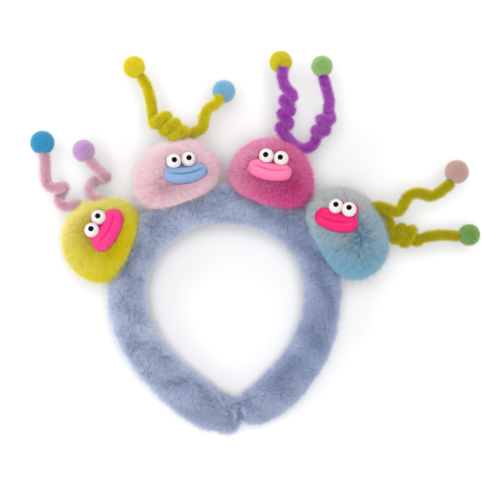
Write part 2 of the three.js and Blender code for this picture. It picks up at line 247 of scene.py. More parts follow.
@dataclass(frozen=True)
class PlushFinish:
    """Dyed fibres: deep in colour at the root, fresh at the tip, and paler where they are faded.

    Attributes:
        root: The colour at a fibre's root.
        tip: The colour at its tip.
        faded: The colour at the tip of a fibre that is faded through, also used as painted light on the
            side the light falls on.
        rise: How fast the tip's colour comes in along a fibre.
        sheen: How much the fibres shine at a slant.
        sheen_roughness: How wide that shine is.
        roughness: How dull the roots are.
        polish: How much less dull the tips are.
        gloss: How much the fibres reflect.
    """

    root: str
    tip: str
    faded: str
    rise: float = 1.4
    sheen: float = 0.15
    sheen_roughness: float = 0.4
    roughness: float = 0.92
    polish: float = 0.16
    gloss: float = 0.08

    def material(self, name: str) -> bpy.types.Material:
        """Makes the material.

        Args:
            name: The material's name.

        Returns:
            The material, which reads how far along a fibre a point is and how faded the fibre is.
        """
        paint = Paint(name)
        along = paint.attribute("pile")
        tip = paint.mix(paint.attribute("tint"), linear(self.tip), linear(self.faded))
        return paint.surface(
            {
                "Base Color": paint.mix(self.rise * along, linear(self.root), tip),
                "Roughness": self.roughness - self.polish * along,
                "Specular IOR Level": self.gloss,
                "Sheen Weight": self.sheen,
                "Sheen Roughness": self.sheen_roughness,
            }
        )


@dataclass(frozen=True)
class MouldedFinish:
    """Soft moulded vinyl, deeper in colour where it is creased.

    Attributes:
        colour: The colour of the vinyl.
        crease: Its colour in a crease.
        roughness: How dull it is.
        gloss: How much it reflects.
        cloud: The waves in a metre of its clouds.
        clouded: How much the clouds show in its colour.
        dulled: How much they show in its roughness.
        pores: The waves in a metre of its pores.
        pore_depth: How deep the pores are.
        grain: How strongly they show.
    """

    colour: str
    crease: str
    roughness: float = 0.5
    gloss: float = 0.2
    cloud: float = 260.0
    clouded: float = 0.1
    dulled: float = 0.12
    pores: float = 2400.0
    pore_depth: float = 0.1 * MM
    grain: float = 0.06

    def material(self, name: str) -> bpy.types.Material:
        """Makes the material.

        Args:
            name: The material's name.

        Returns:
            The material, which reads how deep in a crease a point is.
        """
        paint = Paint(name)
        cloud = paint.noise(self.cloud, detail=3.0)
        pores = paint.noise(self.pores, detail=2.0)
        stain = paint.attribute("crease") + self.clouded * cloud
        colour = paint.mix(stain, linear(self.colour), linear(self.crease))
        sockets = {"Strength": self.grain, "Distance": self.pore_depth, "Height": pores}
        bump = paint.node("ShaderNodeBump", {}, sockets, "Normal")
        return paint.surface(
            {
                "Base Color": colour,
                "Roughness": (self.roughness - self.dulled / 2) + self.dulled * cloud,
                "Specular IOR Level": self.gloss,
                "Normal": bump,
            }
        )


@dataclass(frozen=True)
class Pile:
    """How the fibres of a plush stand, with sizes in metres and the rest in shares.

    Attributes:
        count: How many fibres there are.
        length: A fibre's length.
        width: Its width at the root.
        depth: How deep the backing lies under the solid's face.
        nap: How far the fibres lean in swirls.
        swirl: The size of a swirl.
        comb: How far all of them lean along +X, +Y and +Z.
        stray: How far each leans by itself.
        uneven: How much their lengths differ.
        loose: The share of fibres that reach past the others.
        loose_reach: How many times as long those are.
        gather: How far a tuft's fibres are drawn together.
        gather_least: The share of that which every fibre follows.
        fibres_per_tuft: How many fibres a tuft has.
        patch: The size of a faded patch.
        patches: How strong the patches are.
        speck: The size of a faded speck.
        specks: How strong the specks are.
        mottle: How much single fibres differ in how faded they are.
        voxel: The grid that evens out the backing, or 0 to subdivide the solid's own facets.
        rounds: How often the backing is smoothed.
        twist: How far each blade is turned by itself.
        softness: How much a blade is shaded as the backing under it would be.
    """

    count: int
    length: float
    width: float
    depth: float
    nap: float = 0.35
    swirl: float = 30 * MM
    comb: tuple[float, float, float] = (0.0, 0.0, 0.0)
    stray: float = 0.3
    uneven: float = 0.15
    loose: float = 0.05
    loose_reach: float = 1.5
    gather: float = 0.3
    gather_least: float = 0.4
    fibres_per_tuft: int = 30
    patch: float = 25 * MM
    patches: float = 0.12
    speck: float = 1.2 * MM
    specks: float = 0.0
    mottle: float = 0.22
    voxel: float = 2 * MM
    rounds: int = 10
    twist: float = 0.4
    softness: float = 0.45


@dataclass(frozen=True)
class Crease:
    """A dent that is open to the top.

    Attributes:
        middle: Its middle, seen from above.
        half: Its half sizes, seen from above.
        deep: How deep it is.
        left: The share of a fibre's length that stands in it.
    """

    middle: tuple[float, float]
    half: tuple[float, float]
    deep: float
    left: float

    def pressed(self, places: np.ndarray, normals: np.ndarray) -> np.ndarray:
        """Says how far into the dent each point is.

        Args:
            places: Points of the backing.
            normals: The backing's normals there.

        Returns:
            A share from 0 outside to 1 in the middle, in one column.
        """
        away = (places[:, :2] - np.array(self.middle)) / np.array(self.half)
        return np.exp(-np.sum(away**2, axis=1, keepdims=True) ** 2) * np.maximum(normals[:, 2:], 0)


class Swirl:
    """A smooth field of directions that wander at random."""

    TURN: ClassVar[float] = 2.2  # radians that a usual wave turns over a swirl's size

    def __init__(self, rng: np.random.Generator, size: float, waves: int = 10) -> None:
        """Draws the waves that make up a field whose swirls are about this large."""
        self.ways = rng.normal(size=(waves, 3)) * (self.TURN / size)
        self.phases = rng.uniform(0, 2 * math.pi, size=(3, waves))

    def at(self, places: np.ndarray) -> np.ndarray:
        """Reads the field.

        Args:
            places: Points, one a row.

        Returns:
            A vector for each, about as long as one.
        """
        turns = places @ self.ways.T
        waves = [np.sin(turns + phase).sum(axis=1) for phase in self.phases]
        return np.stack(waves, axis=1) / math.sqrt(len(self.ways) / 2)


class Frame:
    """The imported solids, which the pieces stand for and keep clear of."""

    def __init__(self) -> None:
        """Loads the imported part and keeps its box."""
        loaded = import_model()
        self.nodes: dict[str, bpy.types.Object] = loaded["nodes"]
        self.slots = {row["node"]: row["material_slot"] for row in loaded["record"]["subparts"]}
        self.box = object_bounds()

    def triangles(self, node: str) -> np.ndarray:
        """Reads a solid's facets.

        Args:
            node: The solid's name.

        Returns:
            Three corners for each facet.
        """
        mesh = self.nodes[node].data
        mesh.calc_loop_triangles()
        points = np.empty(len(mesh.vertices) * 3)
        mesh.vertices.foreach_get("co", points)
        corners = np.empty(len(mesh.loop_triangles) * 3, dtype=np.int32)
        mesh.loop_triangles.foreach_get("vertices", corners)
        return points.reshape(-1, 3)[corners].reshape(-1, 3, 3)

    def around(self, node: str) -> BVHTree:
        """Gathers every solid but one.

        Args:
            node: The solid that is left out.

        Returns:
            A tree of the others' facets.
        """
        facets = np.concatenate([self.triangles(name) for name in self.nodes if name != node])
        corners = np.arange(len(facets) * 3).reshape(-1, 3)
        return BVHTree.FromPolygons(facets.reshape(-1, 3).tolist(), corners.tolist())

    def add(
        self, name: str, mesh: bpy.types.Mesh, node: str, material: bpy.types.Material
    ) -> bpy.types.Object:
        """Adds a piece in the place of a solid.

        Args:
            name: The piece's name.
            mesh: Its mesh, in place.
            node: The solid that it stands for.
            material: What it wears.

        Returns:
            The piece.
        """
        mesh.materials.append(material)
        piece = bpy.data.objects.new(name, mesh)
        bpy.context.scene.collection.objects.link(piece)
        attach(piece, "root")
        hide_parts(node)
        LOG.info("%s: %d faces", name, len(mesh.polygons))
        return piece


def with_modifier(form: bmesh.types.BMesh, kind: str, settings: dict[str, Any]) -> bmesh.types.BMesh:
    """Runs one modifier on a form.

    Args:
        form: The form, which is used up.
        kind: The modifier's type.
        settings: The modifier's settings.

    Returns:
        The form as the modifier leaves it.
    """
    mesh = bpy.data.meshes.new("form")
    form.to_mesh(mesh)
    form.free()
    holder = bpy.data.objects.new("form", mesh)
    bpy.context.scene.collection.objects.link(holder)
    modifier = holder.modifiers.new("shape", kind)
    for name, value in settings.items():
        setattr(modifier, name, value)
    changed = holder.evaluated_get(bpy.context.evaluated_depsgraph_get()).to_mesh()
    result = bmesh.new()
    result.from_mesh(changed)
    bpy.data.objects.remove(holder)
    bpy.data.meshes.remove(mesh)
    return result


@dataclass
class Skin:
    """The backing that a plush grows on: corners, their normals, and facets by their corners."""

    points: np.ndarray
    normals: np.ndarray
    facets: np.ndarray

    SMOOTHING: ClassVar[float] = 0.5  # how far one round draws a corner to the middle of its neighbours

    @classmethod
    def under(cls, node: bpy.types.Object, pile: Pile, crease: Crease | None) -> Skin:
        """Makes the backing that lies under a solid's face.

        Args:
            node: The solid.
            pile: The plush, which says how deep the backing lies.
            crease: A dent in the backing, if it has one.

        Returns:
            The backing.
        """
        form = bmesh.new()
        form.from_mesh(node.data)
        bmesh.ops.remove_doubles(form, verts=form.verts, dist=WELD)
        if pile.voxel:
            form = with_modifier(form, "REMESH", {"mode": "VOXEL", "voxel_size": pile.voxel})
        else:
            form = with_modifier(form, "SUBSURF", {"levels": 1, "render_levels": 1})
        for _ in range(pile.rounds):
            bmesh.ops.smooth_vert(
                form,
                verts=form.verts,
                factor=cls.SMOOTHING,
                use_axis_x=True,
                use_axis_y=True,
                use_axis_z=True,
            )
        bmesh.ops.recalc_face_normals(form, faces=form.faces)
        form.normal_update()
        places = np.array([vert.co for vert in form.verts])
        normals = np.array([vert.normal for vert in form.verts])
        sunk = crease.deep * crease.pressed(places, normals) if crease else 0.0
        for corner, place in zip(form.verts, places - normals * (pile.depth + sunk)):
            corner.co = place
        bmesh.ops.triangulate(form, faces=form.faces)
        form.normal_update()
        form.verts.index_update()
        skin = cls(
            points=np.array([vert.co for vert in form.verts]),
            normals=np.array([vert.normal for vert in form.verts]),
            facets=np.array([[vert.index for vert in face.verts] for face in form.faces]),
        )
        form.free()
        return skin


@dataclass
class Plush:
    """A plush piece: a backing with fibres grown on it, in the place of one solid.

    Attributes:
        node: The solid.
        name: The piece's name.
        pile: How the fibres stand.
        finish: What they wear.
        seed: The start of the piece's own random numbers.
        faded: How faded the piece is on the whole.
        fade_and_painted_light_way: How much paler it is at its far end along +X, +Y and +Z, as painted
            light
        falling from that side; on the pompoms this is partly their own fading too.
        crease: A dent in the backing, if it has one.
        rng: The piece's own random numbers.
    """

    node: str
    name: str
    pile: Pile
    finish: PlushFinish
    seed: int
    faded: float = 0.5
    # pales the piece towards one side as painted light falling from there; on the pompoms partly their
    # own fading too
    fade_and_painted_light_way: tuple[float, float, float] = (0.0, 0.0, 0.0)
    crease: Crease | None = None
    rng: np.random.Generator = field(init=False)

    BARE: ClassVar[float] = 0.4  # how faded the backing is
    CLEAR: ClassVar[float] = 0.9  # the share of the way to another solid that a fibre may take
    FLOOR: ClassVar[float] = 0.25 * MM  # how low a tip may come
    MAP_EDGE: ClassVar[float] = 0.02  # what stays free at each side of the map
    MAP_HALF: ClassVar[float] = 0.0016  # half a facet's width on the map
    MAP_BACKING: ClassVar[tuple[float, float]] = (0.01, 0.05)  # the backing's strip on the map
    MAP_ROOT: ClassVar[float] = 0.08  # how high on the map the roots lie
    MAP_RISE: ClassVar[float] = 0.9  # how far above its root a full fibre's tip lies

    def __post_init__(self) -> None:
        """Starts the piece's own run of random numbers."""
        self.rng = np.random.default_rng(self.seed)

    def roots(self, skin: Skin) -> tuple[np.ndarray, np.ndarray]:
        """Spreads fibre roots evenly over the backing.

        Args:
            skin: The backing.

        Returns:
            The roots and the backing's normals there.
        """
        corners = skin.points[skin.facets]
        sides = np.cross(corners[:, 1] - corners[:, 0], corners[:, 2] - corners[:, 0])
        areas = np.linalg.norm(sides, axis=1)
        chosen = self.rng.choice(len(areas), self.pile.count, p=areas / areas.sum())
        share = self.rng.random((self.pile.count, 2))
        over = share.sum(axis=1) > 1
        share[over] = 1 - share[over]
        weights = np.concatenate([1 - share.sum(axis=1, keepdims=True), share], axis=1)
        places = np.einsum("nk,nkd->nd", weights, corners[chosen])
        normals = np.einsum("nk,nkd->nd", weights, skin.normals[skin.facets[chosen]])
        return places, unit(normals)

    def gathered(self, roots: np.ndarray, tips: np.ndarray) -> np.ndarray:
        """Draws fibres together into tufts.

        Args:
            roots: Where the fibres start.
            tips: Where they would end alone.

        Returns:
            Where they end in their tufts.
        """
        heads = self.rng.choice(len(roots), len(roots) // self.pile.fibres_per_tuft, replace=False)
        tree = KDTree(len(heads))
        for at, head in enumerate(heads):
            tree.insert(roots[head], at)
        tree.balance()
        nearest = np.array([tree.find(root)[1] for root in roots.tolist()])
        pull = self.pile.gather * self.rng.uniform(self.pile.gather_least, 1, size=(len(roots), 1))
        return tips + (tips[heads][nearest] - tips) * pull

    def grow(self, skin: Skin, solids: BVHTree) -> tuple[np.ndarray, ...]:
        """Grows the fibres, clear of the solids around them and pressed flat on the floor.

        Args:
            skin: The backing.
            solids: What the fibres stop at.

        Returns:
            The fibres' roots, tips and normals, and the share of a full length that each reaches.
        """
        roots, normals = self.roots(skin)
        nap = self.pile.nap * Swirl(self.rng, self.pile.swirl).at(roots) + np.array(self.pile.comb)
        nap -= normals * np.sum(nap * normals, axis=1, keepdims=True)
        nap[:, 2] = np.minimum(nap[:, 2], 0)
        stray = self.rng.normal(size=roots.shape)
        ways = unit(normals + nap + self.pile.stray * stray)
        reach = self.pile.length * (1 + self.pile.uneven * self.rng.uniform(-1, 1, size=(len(roots), 1)))
        reach[self.rng.random(len(roots)) < self.pile.loose] *= self.pile.loose_reach
        ways = unit(self.gathered(roots, roots + ways * reach) - roots)
        if self.crease:
            reach *= 1 - (1 - self.crease.left) * self.crease.pressed(roots, normals)
        rays = zip(roots.tolist(), ways.tolist(), reach[:, 0].tolist())
        met = [solids.ray_cast(root, way, length)[3] for root, way, length in rays]
        free = np.array([math.inf if distance is None else distance for distance in met])[:, None]
        tips = roots + ways * np.minimum(reach, self.CLEAR * free)
        tips[:, 2] = np.maximum(tips[:, 2], self.FLOOR)
        full = np.clip(np.linalg.norm(tips - roots, axis=1) / self.pile.length, 0, 1)
        return roots, tips, normals, full

    def tints(self, tips: np.ndarray) -> np.ndarray:
        """Says how faded each fibre is.

        Args:
            tips: Where the fibres end.

        Returns:
            A number from 0 to 1 for each fibre, which also holds the painted light on the piece's lit
            side.
        """
        patches = self.pile.patches * Swirl(self.rng, self.pile.patch).at(tips)[:, 0]
        mottle = self.pile.mottle * self.rng.normal(size=len(tips))
        low, high = tips.min(axis=0), tips.max(axis=0)
        # painted light: fibres grow paler towards the side the light falls from, on the pompoms partly
        # their own fading
        side = (2 * tips - low - high) / (high - low) @ np.array(self.fade_and_painted_light_way)
        specks = self.pile.specks * Swirl(self.rng, self.pile.speck).at(tips)[:, 0]
        return np.clip(self.faded + patches + mottle + specks + side, 0, 1)

    def mesh(self, skin: Skin, solids: BVHTree) -> bpy.types.Mesh:
        """Makes the mesh of backing and fibres, each fibre a blade with a point.

        Args:
            skin: The backing.
            solids: What the fibres stop at.

        Returns:
            The mesh, with each point's place along its fibre and its fibre's tint.
        """
        roots, tips, normals, full = self.grow(skin, solids)
        tint = self.tints(tips)
        ways = unit(tips - roots)
        aim = normals + UP + self.pile.twist * self.rng.normal(size=ways.shape)
        across = unit(np.cross(ways, aim))
        facing = np.cross(across, ways)
        half = across * self.pile.width / 2
        blades = np.stack([roots - half, roots + half, tips], axis=1).reshape(-1, 3)
        shade = unit(normals * self.pile.softness + facing * (1 - self.pile.softness))
        bare = len(skin.points)
        facets = np.concatenate([skin.facets, bare + np.arange(len(blades)).reshape(-1, 3)])

        mesh = bpy.data.meshes.new(self.name)
        mesh.vertices.add(bare + len(blades))
        mesh.vertices.foreach_set("co", np.concatenate([skin.points, blades]).ravel())
        mesh.loops.add(facets.size)
        mesh.loops.foreach_set("vertex_index", facets.ravel())
        mesh.polygons.add(len(facets))
        mesh.polygons.foreach_set("loop_start", np.arange(0, facets.size, 3))
        mesh.update(calc_edges=True)

        along = np.concatenate([np.zeros(bare), (full[:, None] * [0.0, 0.0, 1.0]).ravel()])
        faded = np.concatenate([np.full(bare, self.BARE), np.repeat(tint, 3)])
        for name, values in (("pile", along), ("tint", faded)):
            mesh.attributes.new(name, "FLOAT", "POINT").data.foreach_set("value", values)
        places = self.bake_map(tint, full, len(skin.facets))
        mesh.uv_layers.new(name=BAKE_MAP).uv.foreach_set("vector", places)
        mesh.normals_split_custom_set_from_vertices(
            np.concatenate([skin.normals, np.repeat(shade, 3, axis=0)]).tolist()
        )
        return mesh

    def bake_map(self, tint: np.ndarray, full: np.ndarray, backing: int) -> np.ndarray:
        """Lays every fibre on the map at its tint, so that fibres of one colour lie on each other.

        Args:
            tint: How faded each fibre is.
            full: The share of a full length that each reaches.
            backing: How many facets the backing has.

        Returns:
            Two numbers for each corner, in one row.
        """
        faded = np.concatenate([np.full(backing, self.BARE), tint])
        middle = self.MAP_EDGE + (1 - 2 * self.MAP_EDGE) * faded
        strip_low, strip_high = self.MAP_BACKING
        low = np.concatenate([np.full(backing, strip_low), np.full(len(tint), self.MAP_ROOT)])
        high = np.concatenate([np.full(backing, strip_high), self.MAP_ROOT + self.MAP_RISE * full])
        left = np.stack([middle - self.MAP_HALF, low], axis=1)
        right = np.stack([middle + self.MAP_HALF, low], axis=1)
        return np.stack([left, right, np.stack([middle, high], axis=1)], axis=1).ravel()

    def build(self, frame: Frame) -> bpy.types.Object:
        """Builds the piece and dresses it.

        Args:
            frame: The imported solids.

        Returns:
            The piece.
        """
        skin = Skin.under(frame.nodes[self.node], self.pile, self.crease)
        mesh = self.mesh(skin, frame.around(self.node))
        return frame.add(self.name, mesh, self.node, self.finish.material(self.name))


@dataclass(frozen=True)
class Place:
    """Where a face sits: the middle of its flat back, the ways along, up and out of it, and its width."""

    middle: Vector
    along: Vector
    up: Vector
    out: Vector
    wide: float

    def matrix(self) -> Matrix:
        """Gives the turn and move from the face's own axes to the part's."""
        turn = Matrix((self.along, self.up, self.out)).transposed().to_4x4()
        return Matrix.Translation(self.middle) @ turn


def widest_flat(facets: np.ndarray) -> np.ndarray:
    """Finds the way that a solid's widest flat face looks.

    Args:
        facets: The solid's facets.

    Returns:
        That face's normal.
    """
    sides = np.cross(facets[:, 1] - facets[:, 0], facets[:, 2] - facets[:, 0])
    areas = np.linalg.norm(sides, axis=1)
    _, which = np.unique(np.round(unit(sides), 2), axis=0, return_inverse=True)
    widest = np.bincount(which.ravel(), weights=areas).argmax()
    return unit(sides[which.ravel() == widest].sum(axis=0))


@dataclass
class Face:
    """A moulded face: lips on their backing, two eyes and two pupils.

    Attributes:
        number: The number of the pompom that it is on.
        high: The height of the lips.
        lips: What the lips wear.
        eyes: What the eyes wear.
        pupils: What the pupils wear.
        rise: How far the lips stand out.
        bow: How far the lips' ends lie above their level, and their middle below it.
        swell: The power that rounds the lips along their length.
        plumpness: The power that rounds them across it.
        groove: How deep the groove between the lips is.
        groove_reach: How far it runs, as a share of half their length.
        groove_fade: The power that lets it run out.
        groove_half: Half its width, as a share of half the lips' height.
        stain_half: The same for its colour.
        lip_share: The lips' width, as a share of their solid's.
        lip_lift: How far they lie above their solid's level.
        backing_thick: How thick the backing is.
        backing_radius: The radius of the disc of backing under an eye.
        backing_round: How far the disc's rims are rounded.
        eye_radius: An eye's radius.
        pupil_radius: A pupil's radius.
        pupil_reach: How far the middle of a pupil's solid is from its eye's middle.
        pupil_proud: How far a pupil stands out of its eye.
        gap: What stays free between two pieces.
    """

    number: int
    high: float
    lips: MouldedFinish
    eyes: MouldedFinish
    pupils: MouldedFinish
    rise: float = 5.4 * MM
    bow: float = 1.6 * MM
    swell: float = 4.0
    plumpness: float = 2.6
    groove: float = 0.7 * MM
    groove_reach: float = 0.86
    groove_fade: int = 4
    groove_half: float = 0.11
    stain_half: float = 0.09
    lip_share: float = 0.965
    lip_lift: float = 0.6 * MM
    backing_thick: float = 1.2 * MM
    backing_radius: float = 4.4 * MM
    backing_round: float = 0.3 * MM
    eye_radius: float = 4.3 * MM
    pupil_radius: float = 1.6 * MM
    pupil_reach: float = 4.507 * MM
    pupil_proud: float = 0.12 * MM
    gap: float = 0.3 * MM

    RIM: ClassVar[float] = 1.0  # edges that turn by more radians are a disc's rims
    SHARP: ClassVar[float] = math.radians(35)  # edges that turn by more are shaded as sharp

    def place(self, frame: Frame) -> Place:
        """Reads where the face's solids sit.

        Args:
            frame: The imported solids.

        Returns:
            The face's place.
        """
        facets = frame.triangles(f"lips_{self.number}")
        out = -widest_flat(facets)
        left, right = (frame.triangles(f"pupil_{self.number}_{side.value}") for side in Side)
        across = unit(right.mean(axis=(0, 1)) - left.mean(axis=(0, 1)))
        along = unit(across - out * (across @ out))
        up = np.cross(out, along)
        reach = facets.reshape(-1, 3) @ np.stack([along, up, out], axis=1)
        low, high = reach.min(axis=0), reach.max(axis=0)
        level = low[1] + self.bow + self.high / 2 + self.lip_lift
        middle = along * (low[0] + high[0]) / 2 + up * level + out * low[2]
        wide = (high[0] - low[0]) * self.lip_share
        return Place(Vector(middle), Vector(along), Vector(up), Vector(out), wide)

    def lips_form(self, place: Place, grow: float) -> bmesh.types.BMesh:
        """Shapes the two lips and the groove between them, flat at the back.

        Args:
            place: The face's place.
            grow: How much larger than the lips the form is.

        Returns:
            The form, with the depth in the groove at each corner.
        """
        form = bmesh.new()
        bmesh.ops.create_uvsphere(
            form, u_segments=96, v_segments=40, radius=1.0, matrix=Matrix.Rotation(math.pi / 2, 4, "Y")
        )
        crease = form.verts.layers.float.new("crease")
        end = self.high / place.wide
        # The lips lie along an arc that rises by twice the bow from its middle to its ends.
        radius = (place.wide / 2) ** 2 / (4 * self.bow)
        turn = math.asin(place.wide / 2 / radius)
        for corner in form.verts:
            share = max(-1.0, min(1.0, corner.co.x))
            ring = math.sqrt(max(1e-9, 1 - share**2))
            level = max(-1.0, min(1.0, corner.co.y / ring))
            rounding = max(0.0, (abs(share) - 1 + end) / end)
            half = self.high / 2 * math.sqrt(1 - rounding**2) + grow
            swell = math.sqrt(1 - abs(share) ** self.swell)
            height = (self.rise + grow) * swell * math.sqrt(1 - abs(level) ** self.plumpness)
            run = max(0.0, 1 - (share / self.groove_reach) ** self.groove_fade)
            cut = self.groove * run * math.exp(-((level / self.groove_half) ** 2))
            stain = run * math.exp(-((level / self.stain_half) ** 2))
            corner[crease] = stain if corner.co.z > 0 else 0.0
            angle = share * (turn + grow / radius)
            corner.co = (
                (radius - half * level) * math.sin(angle),
                radius - self.bow - (radius - half * level) * math.cos(angle),
                max(0.0, height - cut) if corner.co.z > 0 else -grow,
            )
        bmesh.ops.transform(form, matrix=place.matrix(), verts=form.verts)
        bmesh.ops.recalc_face_normals(form, faces=form.faces)
        return form

    def eye_place(self, frame: Frame, place: Place, side: Side) -> Matrix:
        """Reads where an eye's middle is and which way it looks.

        Args:
            frame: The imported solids.
            place: The face's place.
            side: Which eye.

        Returns:
            The turn and move from an eye that looks up from the origin.
        """
        facets = frame.triangles(f"pupil_{self.number}_{side.value}")
        look = Vector(widest_flat(facets))
        if look.dot(place.out) < 0:
            look.negate()
        middle = Vector(facets.mean(axis=(0, 1))) - look * self.pupil_reach
        return Matrix.Translation(middle) @ look.to_track_quat("Z", "Y").to_matrix().to_4x4()

    def build_lips(self, frame: Frame, place: Place) -> None:
        """Builds the lips with the backing that the eyes stand on.

        Args:
            frame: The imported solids.
            place: The face's place.
        """
        node = f"lips_{self.number}"
        form = self.lips_form(place, 0.0)
        for side in Side:
            middle = self.eye_place(frame, place, side).translation - place.middle
            foot = Matrix.Translation(
                (middle.dot(place.along), middle.dot(place.up), self.backing_thick / 2)
            )
            disc = bmesh.ops.create_cone(
                form,
                cap_ends=True,
                segments=40,
                radius1=self.backing_radius,
                radius2=self.backing_radius,
                depth=self.backing_thick,
                matrix=place.matrix() @ foot,
            )
            edges = {edge for corner in disc["verts"] for edge in corner.link_edges}
            bmesh.ops.bevel(
                form,
                geom=[edge for edge in edges if edge.calc_face_angle(0) > self.RIM],
                offset=self.backing_round,
                affect="EDGES",
                segments=3,
                profile=0.5,
                material=-1,
            )
        mesh = bpy.data.meshes.new(node)
        form.to_mesh(mesh)
        form.free()
        frame.add(f"{node}_moulding", mesh, node, self.lips.material(f"{node}_vinyl"))

    def build_eye(self, frame: Frame, place: Place, side: Side) -> None:
        """Builds an eye, cut off at the backing and hollowed where the lips stand in front of it.

        Args:
            frame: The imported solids.
            place: The face's place.
            side: Which eye.
        """
        node = f"eye_{self.number}_{side.value}"
        form = bmesh.new()
        bmesh.ops.create_uvsphere(
            form,
            u_segments=40,
            v_segments=24,
            radius=self.eye_radius,
            matrix=self.eye_place(frame, place, side),
        )
        foot = bmesh.ops.bisect_plane(
            form,
            geom=[*form.verts, *form.edges, *form.faces],
            plane_co=place.middle + place.out * (self.backing_thick + self.gap),
            plane_no=-place.out,
            clear_outer=True,
        )
        rim = [edge for edge in foot["geom_cut"] if isinstance(edge, bmesh.types.BMEdge)]
        bmesh.ops.holes_fill(form, edges=rim)
        cutter_mesh = bpy.data.meshes.new("lips_room")
        room = self.lips_form(place, self.gap)
        room.to_mesh(cutter_mesh)
        room.free()
        cutter = bpy.data.objects.new("lips_room", cutter_mesh)
        bpy.context.scene.collection.objects.link(cutter)
        settings = {"operation": "DIFFERENCE", "solver": "EXACT", "object": cutter}
        form = with_modifier(form, "BOOLEAN", settings)
        bpy.data.objects.remove(cutter)
        bpy.data.meshes.remove(cutter_mesh)
        mesh = bpy.data.meshes.new(node)
        form.to_mesh(mesh)
        form.free()
        mesh.set_sharp_from_angle(angle=self.SHARP)
        frame.add(f"{node}_dome", mesh, node, self.eyes.material(f"{node}_vinyl"))

    def build_pupil(self, frame: Frame, place: Place, side: Side) -> None:
        """Builds a pupil, a thin cap that follows the eye.

        Args:
            frame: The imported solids.
            place: The face's place.
            side: Which eye.
        """
        node = f"pupil_{self.number}_{side.value}"
        radius = self.eye_radius + self.pupil_proud
        rim = math.sqrt(radius**2 - self.pupil_radius**2)
        form = bmesh.new()
        bmesh.ops.create_uvsphere(form, u_segments=40, v_segments=48, radius=radius)
        cut = bmesh.ops.bisect_plane(
            form,
            geom=[*form.verts, *form.edges, *form.faces],
            plane_co=(0, 0, rim),
            plane_no=(0, 0, 1),
            clear_inner=True,
        )
        top = [edge for edge in cut["geom_cut"] if isinstance(edge, bmesh.types.BMEdge)]
        wall = bmesh.ops.extrude_edge_only(form, edges=top)["geom"]
        foot = [corner for corner in wall if isinstance(corner, bmesh.types.BMVert)]
        bmesh.ops.translate(form, verts=foot, vec=(0, 0, -2 * self.pupil_proud))
        sides = [edge for edge in wall if isinstance(edge, bmesh.types.BMEdge)]
        bmesh.ops.holes_fill(form, edges=sides)
        bmesh.ops.recalc_face_normals(form, faces=form.faces)
        bmesh.ops.transform(form, matrix=self.eye_place(frame, place, side), verts=form.verts)
        mesh = bpy.data.meshes.new(node)
        form.to_mesh(mesh)
        form.free()
        mesh.set_sharp_from_angle(angle=self.SHARP)
        frame.add(f"{node}_disc", mesh, node, self.pupils.material(f"{node}_paint"))

    def build(self, frame: Frame) -> None:
        """Builds the whole face.

        Args:
            frame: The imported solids.
        """
        place = self.place(frame)
        self.build_lips(frame, place)
        for side in Side:
            self.build_eye(frame, place, side)
            self.build_pupil(frame, place, side)


@dataclass(frozen=True)
class Lamp:
    """A square lamp: where it hangs, the length of its sides and its power in watts."""

    name: str
    place: tuple[float, float, float]
    size: float
    power: float

    def hang(self, aim: Vector) -> None:
        """Hangs the lamp so that it shines on a point, out of the camera's sight.

        Args:
            aim: The point.
        """
        light = bpy.data.lights.new(self.name, "AREA")
        light.size = self.size
        light.energy = self.power
        light.cycles.use_multiple_importance_sampling = False
        lamp = bpy.data.objects.new(self.name, light)
        lamp.location = self.place
        lamp.rotation_euler = (aim - Vector(self.place)).to_track_quat("-Z", "Y").to_euler()
        lamp.visible_camera = False
        bpy.context.scene.collection.objects.link(lamp)


